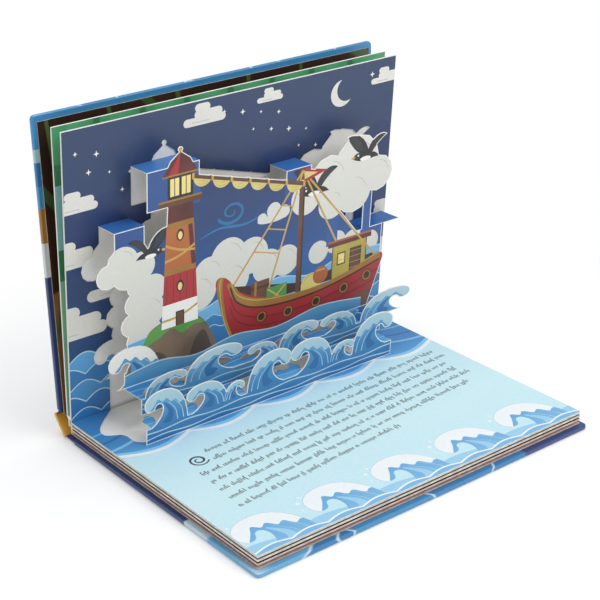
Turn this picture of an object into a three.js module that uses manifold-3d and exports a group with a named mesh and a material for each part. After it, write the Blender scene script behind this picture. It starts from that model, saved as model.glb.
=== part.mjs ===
// Fold-out (pop-up) book standing open at a right angle, in millimetres, +Z up.
// X runs along the spine, the lower half lies towards -Y and the upper half stands up.
// The origin is the centre of the lower board's underside.

import * as THREE from 'three';
import { mergeVertices } from 'three/addons/utils/BufferGeometryUtils.js';
import Module from 'manifold-3d';

const wasm = await Module();
wasm.setup();

// Driving dimensions of the pages and the case
const PAGE_LENGTH = 275;
const PAGE_WIDTH = 212;
const OVERHANG_ENDS = 3.4;
const OVERHANG_FORE = 4.3;
const BOARD_THICKNESS = 3;
const HINGE_SETBACK = 5.3;
const BOARD_CORNER = 2.5;
const BOARD_EDGE_ROUND = 0.7;
const SPINE_THICKNESS = 2.6;
const SPINE_WIDTH = 18.6;
const HINGE_PAPER = 1;
const CLEARANCE = 0.3;

// How the book stands: angles are in degrees, positions are measured from the gutter fold
const PAGE_LEAN = 5.7;
const SPINE_ANGLE = 48.4;
const GUTTER_HEIGHT = 12.7;
const LOWER_HINGE_BACK = 5.6;
const COVER_BACK = 12.9;
const COVER_FOOT = 17;

// Leaves of the page block
const LEAF = 0.9;
const DOUBLE_LEAF = 1.4;
const PASTED_LEAF = 0.5;
const LOWER_LEAVES = 4;
const SECOND_LEAF_ROOT = 4.4;
const SECOND_LEAF_LEAN = 3.7;
const GUTTER_SLOT = 2.7;
const BLOCK_BACK = 2.6;

// The cut and folded sheet: depths run forwards and heights upwards from the fold
const SHEET = 0.5;
const SCENE_DEPTH = 19;
const BACK_WAVE_DEPTH = 40;
const FRONT_WAVE_DEPTH = 60;
const FRONT_STEP = 12;
const BACK_STEP = 24;
const DECK_OVERHANG = 4;
const CURVE_STEPS = 6;

// Values that follow from the dimensions above
const caseLength = PAGE_LENGTH + 2 * OVERHANG_ENDS;
const foreEdge = PAGE_WIDTH + OVERHANG_FORE;
const boardWidth = foreEdge - HINGE_SETBACK;
const beadRadius = SPINE_THICKNESS / 2;
const seatRadius = beadRadius + CLEARANCE;
const spineReach = SPINE_WIDTH - SPINE_THICKNESS;
const spineAngle = THREE.MathUtils.degToRad(SPINE_ANGLE);
const lowerAxis = new THREE.Vector2(LOWER_HINGE_BACK, beadRadius + 0.2);
const upperAxis = new THREE.Vector2(
  lowerAxis.x + spineReach * Math.cos(spineAngle),
  lowerAxis.y + spineReach * Math.sin(spineAngle)
);
const coverFront = COVER_BACK - BOARD_THICKNESS;
const backing = SHEET + CLEARANCE;
const topLeafFace = GUTTER_HEIGHT - backing;
const lean = THREE.MathUtils.degToRad(PAGE_LEAN);

// The pop-up is drawn on squared paper, 275 squares along the page and 212 squares up it
const square = new THREE.Vector2(PAGE_LENGTH / 275, PAGE_WIDTH / 212);
const sceneLeft = 31 * square.x;
const sceneRight = 236 * square.x;
const frontLeft = 22 * square.x;
const backRight = 242 * square.x;
const lanternTab = { left: 50, right: 91, top: 178.3, foot: 150 };
const birdTab = { left: 25, right: 48, top: 142, foot: 110 };
const cloudTab = { left: 164, right: 186, top: 153, foot: 130 };
const stepTab = { left: 188, right: 272, top: 90, foot: 58, faceRight: 256 };
const tabs = [lanternTab, birdTab, cloudTab, stepTab];

// Solids: closed geometry to a manifold solid and back
function toSolid(geometry) {
  const bare = geometry.clone();
  bare.deleteAttribute('normal');
  bare.deleteAttribute('uv');
  const merged = mergeVertices(bare, 1e-4);
  return new wasm.Manifold(new wasm.Mesh({
    numProp: 3,
    vertProperties: Float32Array.from(merged.attributes.position.array),
    triVerts: Uint32Array.from(merged.index.array)
  }));
}

function toGeometry(solid) {
  const { vertProperties, triVerts } = solid.getMesh();
  const geometry = new THREE.BufferGeometry();
  geometry.setAttribute('position', new THREE.BufferAttribute(vertProperties, 3));
  geometry.setIndex(new THREE.BufferAttribute(triVerts, 1));
  geometry.computeVertexNormals();
  return geometry;
}

function union(solids) {
  return solids.reduce((whole, solid) => whole.add(solid));
}

// Flat outlines
function outline(points) {
  return new THREE.Shape(points.map(([x, y]) => new THREE.Vector2(x, y)));
}

function rectangle(left, bottom, right, top) {
  return outline([[left, bottom], [right, bottom], [right, top], [left, top]]);
}

function roundedRectangle(left, bottom, right, top, radius) {
  const shape = new THREE.Shape();
  shape.absarc(right - radius, top - radius, radius, 0, Math.PI / 2);
  shape.absarc(left + radius, top - radius, radius, Math.PI / 2, Math.PI);
  shape.absarc(left + radius, bottom + radius, radius, Math.PI, 1.5 * Math.PI);
  shape.absarc(right - radius, bottom + radius, radius, 1.5 * Math.PI, 2 * Math.PI);
  return shape;
}

function disc(x, y, radius) {
  return new THREE.Shape().absarc(x, y, radius, 0, 2 * Math.PI);
}

function smooth(points) {
  const loop = new THREE.SplineCurve(points.map(([x, y]) => new THREE.Vector2(x, y)));
  return new THREE.Shape(loop.getPoints(points.length * 4));
}

// Section drawn in the YZ plane and run along the spine, centred on X
function alongSpine(section, length) {
  const geometry = new THREE.ExtrudeGeometry(section, {
    depth: length, bevelEnabled: false, curveSegments: CURVE_STEPS
  });
  const toSpine = new THREE.Matrix4().makeBasis(
    new THREE.Vector3(0, 1, 0), new THREE.Vector3(0, 0, 1), new THREE.Vector3(1, 0, 0)
  );
  geometry.applyMatrix4(toSpine);
  geometry.translate(-length / 2, 0, 0);
  return toSolid(geometry);
}

// A strip of the given thickness whose middle runs from one point to another
function strip(from, to, thickness) {
  const along = new THREE.Vector2().subVectors(to, from).normalize();
  const side = new THREE.Vector2(-along.y, along.x).multiplyScalar(thickness / 2);
  return new THREE.Shape([
    from.clone().sub(side), to.clone().sub(side), to.clone().add(side), from.clone().add(side)
  ]);
}

// Case: two boards, each with its paper hinge, and the spine board between them
function board(width) {
  const inset = BOARD_EDGE_ROUND;
  const face = roundedRectangle(
    -caseLength / 2 + inset, inset, caseLength / 2 - inset, width - inset, BOARD_CORNER
  );
  const geometry = new THREE.ExtrudeGeometry(face, {
    depth: BOARD_THICKNESS - 2 * inset, bevelEnabled: true, bevelThickness: inset,
    bevelSize: inset, bevelSegments: 2, curveSegments: CURVE_STEPS
  });
  geometry.translate(0, 0, inset);
  return geometry;
}

function hingePaper(from, axis) {
  const paper = alongSpine(strip(from, axis, HINGE_PAPER), caseLength - 2 * BOARD_EDGE_ROUND);
  return paper.subtract(alongSpine(disc(axis.x, axis.y, seatRadius), caseLength));
}

function lowerCover() {
  const geometry = board(boardWidth);
  geometry.translate(0, -foreEdge, 0);
  const boardBack = boardWidth - foreEdge;
  const root = new THREE.Vector2(boardBack - BOARD_THICKNESS, lowerAxis.y - 0.5);
  return toSolid(geometry).add(hingePaper(root, lowerAxis));
}

function upperCover() {
  const geometry = board(boardWidth);
  geometry.rotateX(Math.PI / 2);
  geometry.translate(0, COVER_BACK, COVER_FOOT);
  const root = new THREE.Vector2(COVER_BACK - BOARD_THICKNESS / 2, COVER_FOOT + HINGE_PAPER);
  return toSolid(geometry).add(hingePaper(root, upperAxis));
}

function spineBoard() {
  const section = new THREE.Shape();
  const quarter = Math.PI / 2;
  section.absarc(upperAxis.x, upperAxis.y, beadRadius, spineAngle - quarter, spineAngle + quarter);
  section.absarc(lowerAxis.x, lowerAxis.y, beadRadius, spineAngle + quarter, spineAngle + 3 * quarter);
  return alongSpine(section, caseLength);
}

function upperEndpaper() {
  const back = coverFront - CLEARANCE;
  const section = rectangle(back - PASTED_LEAF, GUTTER_HEIGHT + BLOCK_BACK, back,
    COVER_FOOT + boardWidth - OVERHANG_FORE);
  return alongSpine(section, PAGE_LENGTH);
}

// Page block: every other leaf of the book, joined at its folds behind the gutter
function pageBlock() {
  const back = new THREE.Vector2(BLOCK_BACK, 0);
  const firstFace = BOARD_THICKNESS + CLEARANCE;
  const pitch = (topLeafFace - LEAF - firstFace) / (LOWER_LEAVES - 1);
  const pieces = [];
  for (let i = 0; i < LOWER_LEAVES; i += 1) {
    const thickness = [PASTED_LEAF, DOUBLE_LEAF, DOUBLE_LEAF, LEAF][i];
    const foot = firstFace + i * pitch;
    pieces.push(rectangle(-PAGE_WIDTH, foot, back.x / 2, foot + thickness));
    if (i > 0) {
      const fold = new THREE.Shape();
      const radius = (pitch + thickness) / 2;
      fold.absarc(0, foot + thickness - radius, radius, -Math.PI / 2, Math.PI / 2);
      pieces.push(fold);
    }
  }
  const up = new THREE.Vector2(-Math.sin(lean), Math.cos(lean));
  const behind = new THREE.Vector2(Math.cos(lean), Math.sin(lean));
  const standing = new THREE.Vector2(0, GUTTER_HEIGHT).addScaledVector(behind, backing + LEAF / 2);
  pieces.push(strip(
    standing.clone().addScaledVector(up, GUTTER_SLOT - backing),
    standing.clone().addScaledVector(up, PAGE_WIDTH), LEAF
  ));
  const secondLean = THREE.MathUtils.degToRad(SECOND_LEAF_LEAN);
  const second = new THREE.Vector2(SECOND_LEAF_ROOT + DOUBLE_LEAF / 2, GUTTER_HEIGHT + BLOCK_BACK);
  const secondUp = new THREE.Vector2(-Math.sin(secondLean), Math.cos(secondLean));
  pieces.push(strip(second, second.clone().addScaledVector(secondUp, PAGE_WIDTH - BLOCK_BACK),
    DOUBLE_LEAF));
  const standingFoot = standing.clone().addScaledVector(up, GUTTER_SLOT - backing);
  const foldCentre = new THREE.Vector2().addVectors(standingFoot, second).multiplyScalar(0.5);
  const foldRadius = (second.x - standingFoot.x + LEAF) / 2;
  const upperFold = new THREE.Shape();
  upperFold.absarc(foldCentre.x, foldCentre.y + foldRadius / 2, foldRadius, Math.PI, 2 * Math.PI);
  pieces.push(upperFold);
  pieces.push(rectangle(back.x, topLeafFace - LEAF - pitch, SECOND_LEAF_ROOT, second.y));
  pieces.push(rectangle(0, topLeafFace - pitch, SECOND_LEAF_ROOT, topLeafFace - LEAF));
  return union(pieces.map((section) => alongSpine(section, PAGE_LENGTH)));
}

// Pop-up sheet
// Its panels are drawn flat and set out in box space, with X along the gutter, Y backwards
// and Z upwards. A facing panel is upright, a lying panel is level, and a cut for a raised
// tip is its outline turned down about the fold that it rises from.
function flatPanel(shape, thickness) {
  return new THREE.ExtrudeGeometry(shape, {
    depth: thickness, bevelEnabled: false, curveSegments: CURVE_STEPS
  });
}

function facing(shapes, depth, thickness = SHEET, front = 0) {
  return union(shapes.map((shape) => {
    const geometry = flatPanel(shape, thickness);
    geometry.rotateX(Math.PI / 2);
    geometry.translate(0, thickness - depth - front, 0);
    return toSolid(geometry);
  }));
}

function lying(shapes, height, thickness = SHEET, above = 0) {
  return union(shapes.map((shape) => {
    const geometry = flatPanel(shape, thickness);
    geometry.scale(1, -1, -1);
    geometry.translate(0, 0, height + above);
    return toSolid(geometry);
  }));
}

function turnedDown(shapes, depth, height) {
  const cut = 3 * SHEET;
  return union(shapes.map((shape) => {
    const geometry = flatPanel(shape, cut);
    geometry.translate(0, -height - depth, height - cut / 2 - SHEET / 2);
    return toSolid(geometry);
  }));
}

// Shapes drawn in squares, at their real size on the page
function onPage(shapes) {
  return shapes.map((shape) => (
    new THREE.Shape(shape.getPoints(CURVE_STEPS).map((point) => point.clone().multiply(square)))
  ));
}

// A curling wave: side 1 curls to the right and side -1 to the left
function crest(x, foot, width, height, side = 1) {
  const at = (a, b) => [side > 0 ? x + a * width : x + (1 - a) * width, foot + b * height];
  const shape = new THREE.Shape();
  shape.moveTo(...at(0, 0));
  shape.bezierCurveTo(...at(0.02, 0.45), ...at(0.14, 0.98), ...at(0.56, 1));
  shape.bezierCurveTo(...at(0.86, 1.02), ...at(1.04, 0.82), ...at(1, 0.6));
  shape.bezierCurveTo(...at(0.98, 0.42), ...at(0.8, 0.4), ...at(0.76, 0.54));
  shape.bezierCurveTo(...at(0.74, 0.64), ...at(0.64, 0.66), ...at(0.6, 0.56));
  shape.bezierCurveTo(...at(0.54, 0.42), ...at(0.62, 0.14), ...at(0.84, 0));
  shape.closePath();
  return shape;
}

// Waves that rise from a fold: left end and width in squares, height over the fold, side
const FRONT_CRESTS = [
  [21, 34, 27, -1], [54, 34, 21, -1], [85, 17, 13, 1], [104, 38, 27, 1],
  [142, 38, 26, -1], [178, 22, 14, 1], [198, 38, 27, 1]
];
const BACK_CRESTS = [
  [34, 34, 14, 1], [66, 48, 21, 1], [119, 27, 12, -1], [146, 36, 17, 1],
  [184, 34, 15, -1], [222, 48, 20, 1]
];

function crests(list, foot) {
  return list.map(([x, width, height, side]) => (
    crest(x * square.x, foot, width * square.x, height, side)
  ));
}

function scallops(from, to, count, radius) {
  const flags = [];
  for (let i = 0; i < count; i += 1) {
    const t = (i + 0.5) / count;
    const x = THREE.MathUtils.lerp(from[0], to[0], t);
    const y = THREE.MathUtils.lerp(from[1], to[1], t);
    flags.push(new THREE.Shape().absarc(x, y, radius, Math.PI, 2 * Math.PI));
  }
  return flags;
}

function cloud(lobes) {
  return lobes.map(([x, y, radius]) => disc(x, y, radius));
}

// A seabird with raised wings: side 1 looks to the right and side -1 to the left
function seabird(x, y, span, side) {
  const at = (a, b) => [x + side * a * span, y + b * span];
  const shape = new THREE.Shape();
  shape.moveTo(...at(-0.5, 0.3));
  shape.bezierCurveTo(...at(-0.36, 0.4), ...at(-0.12, 0.3), ...at(-0.04, 0.08));
  shape.bezierCurveTo(...at(0.04, 0.32), ...at(0.26, 0.5), ...at(0.5, 0.42));
  shape.bezierCurveTo(...at(0.4, 0.26), ...at(0.3, 0.12), ...at(0.18, 0.04));
  shape.bezierCurveTo(...at(0.26, 0.06), ...at(0.3, 0), ...at(0.38, -0.04));
  shape.bezierCurveTo(...at(0.28, -0.08), ...at(0.2, -0.14), ...at(0.06, -0.14));
  shape.bezierCurveTo(...at(-0.08, -0.14), ...at(-0.2, -0.1), ...at(-0.32, -0.12));
  shape.bezierCurveTo(...at(-0.26, -0.04), ...at(-0.2, 0), ...at(-0.14, 0));
  shape.bezierCurveTo(...at(-0.24, 0.14), ...at(-0.36, 0.22), ...at(-0.5, 0.3));
  return shape;
}

function lighthouse() {
  return [
    smooth([[30, 24], [34, 40], [44, 49], [52, 62], [68, 67], [86, 65], [97, 56], [106, 38], [110, 24], [70, 24]]),
    outline([[61, 60], [91, 60], [86, 152], [66, 152]]),
    rectangle(59, 150, 93, 155),
    rectangle(66, 154, 86, 172),
    outline([[62, 171], [90, 171], [84, 182], [76, 188], [68, 182]]),
    disc(76, 189, 2)
  ];
}

function boat() {
  const hull = new THREE.Shape();
  hull.moveTo(126, 24);
  hull.bezierCurveTo(117, 36, 111, 52, 106, 78);
  hull.quadraticCurveTo(103, 88, 110, 89);
  hull.quadraticCurveTo(118, 89, 120, 78);
  hull.bezierCurveTo(130, 56, 196, 44, 250, 66);
  hull.quadraticCurveTo(260, 69, 259, 61);
  hull.lineTo(246, 24);
  hull.closePath();
  return [
    hull,
    roundedRectangle(136, 50, 152, 74, 3),
    roundedRectangle(150, 46, 168, 66, 1),
    disc(190, 58, 9),
    disc(199, 63, 7),
    roundedRectangle(209, 50, 242, 84, 2),
    rectangle(205, 82, 246, 87),
    rectangle(176, 44, 181, 152),
    outline([[178, 152], [181, 152], [252, 64], [120, 74]]),
    outline([[180, 151], [200, 146], [180, 141]])
  ];
}

// The raised sky under the string of bunting, with lobes of cloud along its left edge
function raisedSky() {
  return [
    outline([[38, 36], [40, 104], [64, 108], [66, 150], [86, 166], [180, 140], [180, 40]]),
    ...cloud([[41, 58, 8], [38, 71, 9], [41, 86, 9], [42, 99, 8]]),
    outline([[178, 46], [178, 88], [stepTab.faceRight, 88], [254, 60]])
  ];
}

function tabFaces(trim) {
  return tabs.map((tab) => rectangle(tab.left * square.x, tab.foot * square.y,
    (tab.faceRight ?? tab.right) * square.x, tab.top * square.y - trim));
}

function sceneShapes(trim = 0) {
  const spar = [new THREE.Vector2(86, 168), new THREE.Vector2(180, 140)];
  const drawn = [
    ...raisedSky(),
    ...lighthouse(),
    ...boat(),
    crest(19, 24, 42, 31, -1),
    strip(spar[0], spar[1], 3),
    ...scallops(spar[0].toArray(), spar[1].toArray(), 6, 7.4),
    ...cloud([[20, 112, 9], [31, 119, 12], [45, 113, 11], [33, 108, 9]]),
    seabird(52, 122, 34, 1),
    ...cloud([[182, 128, 13], [203, 138, 18], [228, 146, 20], [248, 132, 14], [226, 122, 16],
      [206, 118, 12]]),
    seabird(190, 134, 40, -1),
    seabird(236, 150, 38, -1),
    rectangle(204, 84, 212, 118),
    rectangle(236, 84, 244, 124)
  ];
  return [...onPage(drawn), ...tabFaces(trim)];
}

// A piece of the page that is cut free all round stays with the raised scene, as one that
// meets the back fold of a tab stays with the page
function heldBy(decks, cutPage) {
  const pieces = cutPage.decompose();
  const page = pieces.reduce((a, b) => (a.volume() > b.volume() ? a : b));
  const held = [page];
  const free = [];
  for (const piece of pieces) {
    if (piece === page) continue;
    const onTab = piece.intersect(decks).volume() > 0;
    (onTab ? held : free).push(onTab ? piece : piece.translate([0, -SCENE_DEPTH, 0]));
  }
  return [union(held), free];
}

// The upright half with the scene raised in front of it
function standingHalf() {
  const cutThickness = 3 * SHEET;
  const page = [rectangle(0, -SHEET, PAGE_LENGTH, PAGE_WIDTH)];
  const hole = [...sceneShapes(SHEET), rectangle(sceneLeft, -2 * SHEET, sceneRight, BACK_STEP)];
  const cutPage = facing(page, 0).subtract(facing(hole, 0, cutThickness, SHEET));
  const decks = union(tabs.map((tab) => lying([
    rectangle(tab.left * square.x, -SHEET, tab.right * square.x, SCENE_DEPTH)
  ], tab.top * square.y)));
  const [upright, islands] = heldBy(decks, cutPage);
  const foot = rectangle(sceneLeft, BACK_STEP - SHEET, sceneRight, BACK_STEP + 3 * DECK_OVERHANG);
  return [upright, decks, facing([...sceneShapes(), foot], SCENE_DEPTH), ...islands];
}

// The lying half with two steps of waves folded up from it
function lyingHalf() {
  const page = [rectangle(0, -SHEET, PAGE_LENGTH, PAGE_WIDTH)];
  const ground = [
    rectangle(sceneLeft, -2 * SHEET, sceneRight, FRONT_WAVE_DEPTH - SHEET),
    ...onPage([smooth([[33, -1], [12, 18], [8, 30], [18, 38], [20, 52], [34, 56], [60, 30]])])
  ];
  const level = lying(page, 0).subtract(lying(ground, 0, 3 * SHEET, SHEET));
  const frontTips = crests(FRONT_CRESTS, FRONT_STEP);
  const backTips = crests(BACK_CRESTS, BACK_STEP);
  const frontFace = facing([
    rectangle(frontLeft, -SHEET, sceneRight, FRONT_STEP), ...frontTips
  ], FRONT_WAVE_DEPTH);
  const backFace = facing([
    rectangle(sceneLeft, FRONT_STEP - SHEET, backRight, BACK_STEP), ...backTips
  ], BACK_WAVE_DEPTH);
  const frontDeck = lying([
    rectangle(frontLeft + DECK_OVERHANG, BACK_WAVE_DEPTH - SHEET, sceneRight, FRONT_WAVE_DEPTH)
  ], FRONT_STEP).subtract(turnedDown(frontTips, FRONT_WAVE_DEPTH, FRONT_STEP));
  const backDeck = lying([
    rectangle(sceneLeft, SCENE_DEPTH - SHEET, sceneRight, BACK_WAVE_DEPTH)
  ], BACK_STEP).subtract(turnedDown(backTips, BACK_WAVE_DEPTH, BACK_STEP));
  return [level, frontFace, frontDeck, backFace, backDeck];
}

function popUpSheet() {
  return union([...standingHalf(), ...lyingHalf()]);
}

// The assembled book
function part(name, geometry, color, roughness) {
  const mesh = new THREE.Mesh(
    geometry, new THREE.MeshStandardMaterial({ color, roughness, metalness: 0 })
  );
  mesh.name = name;
  return mesh;
}

const book = new THREE.Group();
const aboutGutter = new THREE.Group();
aboutGutter.position.y = foreEdge - boardWidth / 2;
book.add(aboutGutter);

aboutGutter.add(
  part('lower_cover', toGeometry(lowerCover()), 0x3a78b4, 0.35),
  part('spine_board', toGeometry(spineBoard()), 0xb07f2e, 0.4),
  part('upper_cover', toGeometry(upperCover()), 0x3f8abd, 0.35),
  part('upper_endpaper', toGeometry(upperEndpaper()), 0x2e1d14, 0.5),
  part('page_block', toGeometry(pageBlock()), 0xf1efe8, 0.6)
);

const sheet = toGeometry(popUpSheet());
sheet.translate(-PAGE_LENGTH / 2, 0, 0);
sheet.applyMatrix4(new THREE.Matrix4().makeBasis(
  new THREE.Vector3(1, 0, 0),
  new THREE.Vector3(0, 1, 0),
  new THREE.Vector3(0, -Math.sin(lean), Math.cos(lean))
));
sheet.translate(0, 0, GUTTER_HEIGHT);
aboutGutter.add(part('pop_up_sheet', sheet, 0x3c5fa0, 0.4));

export default book;
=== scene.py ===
"""Pop-up book standing open at a right angle: print, paper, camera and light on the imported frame."""

import math
import random

import bpy
import numpy as np
from mathutils import Matrix, Vector
from mathutils.geometry import delaunay_2d_cdt


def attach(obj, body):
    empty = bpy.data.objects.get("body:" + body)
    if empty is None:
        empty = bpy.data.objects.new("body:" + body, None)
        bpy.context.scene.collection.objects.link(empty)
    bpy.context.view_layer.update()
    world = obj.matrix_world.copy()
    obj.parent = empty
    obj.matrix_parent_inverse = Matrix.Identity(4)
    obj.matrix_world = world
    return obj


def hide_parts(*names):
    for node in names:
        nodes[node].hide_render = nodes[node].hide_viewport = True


MM = 0.001
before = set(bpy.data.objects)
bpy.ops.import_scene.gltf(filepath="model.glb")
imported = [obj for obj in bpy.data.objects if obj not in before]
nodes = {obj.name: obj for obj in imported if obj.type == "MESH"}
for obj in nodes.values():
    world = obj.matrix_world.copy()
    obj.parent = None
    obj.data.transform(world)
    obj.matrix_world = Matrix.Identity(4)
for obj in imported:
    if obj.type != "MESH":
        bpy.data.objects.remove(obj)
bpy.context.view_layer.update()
random.seed(11)

# All lengths are in millimetres unless a comment says otherwise. The page's size, the card's place in the
# frame as the x of its middle and the y and z of its gutter fold, and how far the page leans back
PAGE_LENGTH = 275
PAGE_WIDTH = 212
GUTTER = (137.5, 110.8, 12.7)
PAGE_LEAN = math.radians(5.7)
LEAN_SIN, LEAN_COS = math.sin(PAGE_LEAN), math.cos(PAGE_LEAN)

# The card's folds: depths in front of the page and heights above the lower page. A triangle belongs to a
# panel if it lies within PLANE_TOLERANCE of it and its normal is over PANEL_FACES in the panel's direction
SCENE_DEPTH = 19
BACK_WAVE_DEPTH = 40
FRONT_WAVE_DEPTH = 60
FRONT_STEP = 12
BACK_STEP = 24
TAB_TOPS = (178.3, 153, 142, 90)
PLANE_TOLERANCE = 0.12
PANEL_FACES = 0.9

# The print runs past the paper's edge by MARGIN, and the raised scene's print reaches down to SCENE_FOOT.
# RIM is the bare edge that the print leaves along the cut outline of raised pieces
MARGIN = 3
SCENE_FOOT = 10
RIM = 0.6

# Heights of the case and of the standing leaves, over which their prints are spread
CASE_HEIGHT = 228
LEAF_HEIGHT = 225

# Finish of printed and of bare paper
PRINT_ROUGH, PRINT_COAT = 0.42, 0.08
PAPER_ROUGH = 0.6
WRAP_ROUGH, WRAP_COAT = 0.36, 0.2
COAT_ROUGHNESS = 0.22

# The studio, in metres: where the floor fades to white, its reach and level, and what the lamps aim at.
# WORLD_LIGHT is the strength of the light from all round
FLOOR_FADE = (0.1, 0.4)
FLOOR_REACH = 9
FLOOR_LEVEL = -0.0004
LAMP_AIM = (0, 0, 0.08)
WORLD_LIGHT = 0.52


def srgb(text):
    """A hex colour as linear values."""
    parts = [int(text[i:i + 2], 16) / 255 for i in (0, 2, 4)]
    return tuple(p / 12.92 if p <= 0.04045 else ((p + 0.055) / 1.055) ** 2.4 for p in parts)


class Shader:
    """A small builder for procedural node materials."""

    def __init__(self, name, rough=0.4, coat=0.0):
        self.mat = bpy.data.materials.new(name)
        self.mat.use_nodes = True
        self.tree = self.mat.node_tree
        self.tree.nodes.clear()
        out = self.tree.nodes.new("ShaderNodeOutputMaterial")
        self.bsdf = self.tree.nodes.new("ShaderNodeBsdfPrincipled")
        self.bsdf.inputs["Roughness"].default_value = rough
        self.bsdf.inputs["Coat Weight"].default_value = coat
        self.bsdf.inputs["Coat Roughness"].default_value = COAT_ROUGHNESS
        self.link(self.bsdf.outputs[0], out.inputs["Surface"])
        self.place = self.add("ShaderNodeTexCoord").outputs["Object"]
        split = self.add("ShaderNodeSeparateXYZ")
        self.link(self.place, split.inputs[0])
        self.axis = dict(zip("xyz", split.outputs))

    def add(self, kind, **inputs):
        node = self.tree.nodes.new(kind)
        for key, value in inputs.items():
            node.inputs[key].default_value = value
        return node

    def link(self, a, b):
        self.tree.links.new(a, b)

    def put(self, socket, value):
        if isinstance(value, (int, float)):
            socket.default_value = value
        elif isinstance(value, tuple):
            socket.default_value = (*value, 1)
        else:
            self.link(value, socket)

    def noise(self, scale, detail=3.0, stretch=(1, 1, 1)):
        mapping = self.add("ShaderNodeMapping")
        mapping.inputs["Scale"].default_value = stretch
        self.link(self.place, mapping.inputs["Vector"])
        node = self.add("ShaderNodeTexNoise", Scale=scale, Detail=detail)
        self.link(mapping.outputs[0], node.inputs["Vector"])
        return node.outputs["Fac"]

    def ramp(self, fac, stops, ease="LINEAR"):
        node = self.add("ShaderNodeValToRGB")
        node.color_ramp.interpolation = ease
        elements = node.color_ramp.elements
        while len(elements) < len(stops):
            elements.new(0.5)
        for element, (at, colour) in zip(elements, stops):
            element.position = at
            element.color = (*colour, 1)
        self.link(fac, node.inputs["Fac"])
        return node.outputs["Color"]

    def mix(self, fac, a, b, blend="MIX"):
        node = self.add("ShaderNodeMix")
        node.data_type = "RGBA"
        node.blend_type = blend
        self.put(node.inputs["Factor"], fac)
        self.put(node.inputs[6], a)
        self.put(node.inputs[7], b)
        return node.outputs[2]

    def math(self, kind, a, b):
        node = self.add("ShaderNodeMath")
        node.operation = kind
        self.put(node.inputs[0], a)
        self.put(node.inputs[1], b)
        return node.outputs[0]

    def span(self, axis, low, high):
        """0 at low and 1 at high along an axis, both in millimetres."""
        node = self.add("ShaderNodeMapRange")
        node.inputs["From Min"].default_value = low * MM
        node.inputs["From Max"].default_value = high * MM
        self.link(self.axis[axis], node.inputs["Value"])
        return node.outputs["Result"]

    def bump(self, height, strength, distance=0.0002):
        node = self.add("ShaderNodeBump", Strength=strength, Distance=distance)
        self.link(height, node.inputs["Height"])
        self.link(node.outputs[0], self.bsdf.inputs["Normal"])

    def finish(self, colour, grain_scale=900.0, tooth=0.1):
        """Base colour with the paper's fine grain on it, and a faint tooth."""
        grain = self.noise(grain_scale, 2.0)
        tint = self.ramp(grain, [(0.3, (0.94, 0.94, 0.94)), (0.7, (1, 1, 1))])
        self.link(self.mix(1.0, colour, tint, "MULTIPLY"), self.bsdf.inputs["Base Color"])
        self.bump(grain, tooth)
        return self.mat


def mottled(name, low, high, rough=0.4, coat=0.0, scale=14.0):
    """Paper or ink that drifts between two tints."""
    s = Shader(name, rough, coat)
    return s.finish(s.ramp(s.noise(scale, 2.0), [(0.36, srgb(low)), (0.64, srgb(high))]))


def graded(name, axis, low, high, stops):
    """Ink that runs through several tints along one axis, with an uneven, painted edge."""
    s = Shader(name, PRINT_ROUGH, PRINT_COAT)
    wander = s.math("MULTIPLY", s.math("SUBTRACT", s.noise(18, 3.0, (1, 1, 1.6)), 0.5), 0.32)
    fac = s.math("ADD", s.span(axis, low, high), wander)
    return s.finish(s.ramp(fac, [(at, srgb(colour)) for at, colour in stops]))


# Inks that change along an axis: the axis, where the change starts and ends, and its tints
INK_PLAN = {
    "sky": ("z", 12, 224, [(0.0, "2a6096"), (0.3, "264a7c"), (0.6, "283c64"), (1.0, "2e4062")]),
    "sky_dark": ("z", 60, 215, [(0.0, "22436f"), (0.5, "1f3360"), (1.0, "283c66")]),
    "scene_sky": ("z", 60, 190, [(0.0, "2a68a4"), (0.35, "284f88"), (0.7, "2d4370"), (1.0, "283a66")]),
    "scene_teal": ("z", 60, 190, [(0.0, "3182b4"), (1.0, "2f6391")]),
    "tab_blue": ("z", 80, 192, [(0.0, "2766ad"), (0.5, "2b62ad"), (1.0, "3b78bd")]),
    "tab_face": ("z", 80, 192, [(0.0, "2c5a9a"), (0.6, "2f4f8a"), (1.0, "34558f")]),
    "cloud": ("z", 60, 200, [(0.0, "cfccc2"), (1.0, "dedcd4")]),
    "sea": ("z", 12, 80, [(0.0, "2f74ad"), (0.5, "4b93c5"), (1.0, "6faed2")]),
    "sea_deep": ("z", 12, 80, [(0.0, "2a68a2"), (1.0, "3a7fb4")]),
    "wave": ("z", 12, 46, [(0.0, "2d6da4"), (0.5, "3a7fb2"), (1.0, "5d9dc6")]),
    "wave_dark": ("z", 12, 46, [(0.0, "275f95"), (1.0, "2f6fa6")]),
    "wave_pale": ("z", 20, 60, [(0.0, "8fb9cc"), (1.0, "b3ccd4")]),
    "foam": ("z", 12, 60, [(0.0, "dfe8e6"), (1.0, "eceae2")]),
    "deck_sea": ("y", 50, 95, [(0.0, "5aa3d8"), (0.5, "3c86c2"), (1.0, "357ab4")]),
    "ground": ("y", -102, 50, [(0.0, "bfe2ec"), (0.5, "c7e6ec"), (1.0, "bddfea")]),
    "ground_sea": ("y", 30, 110, [(0.0, "5aa6dc"), (0.4, "3f86c2"), (1.0, "3b7db8")]),
    "ground_light": ("y", 20, 110, [(0.0, "8cc6e8"), (1.0, "6fb2dc")]),
    "ground_wave": ("y", -102, -40, [(0.0, "78b4dc"), (0.6, "5b9dcf"), (1.0, "5292c6")]),
    "ground_band": ("y", -102, -40, [(0.0, "9acbe6"), (1.0, "86bfe0")]),
    "ground_foam": ("y", -102, 50, [(0.0, "e9eef0"), (1.0, "e4eced")]),
    "hull": ("z", 34, 84, [(0.0, "8f2226"), (1.0, "ab2c2e")]),
    "tower_band": ("z", 70, 170, [(0.0, "a55a2c"), (1.0, "bb6c36")]),
}
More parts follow.
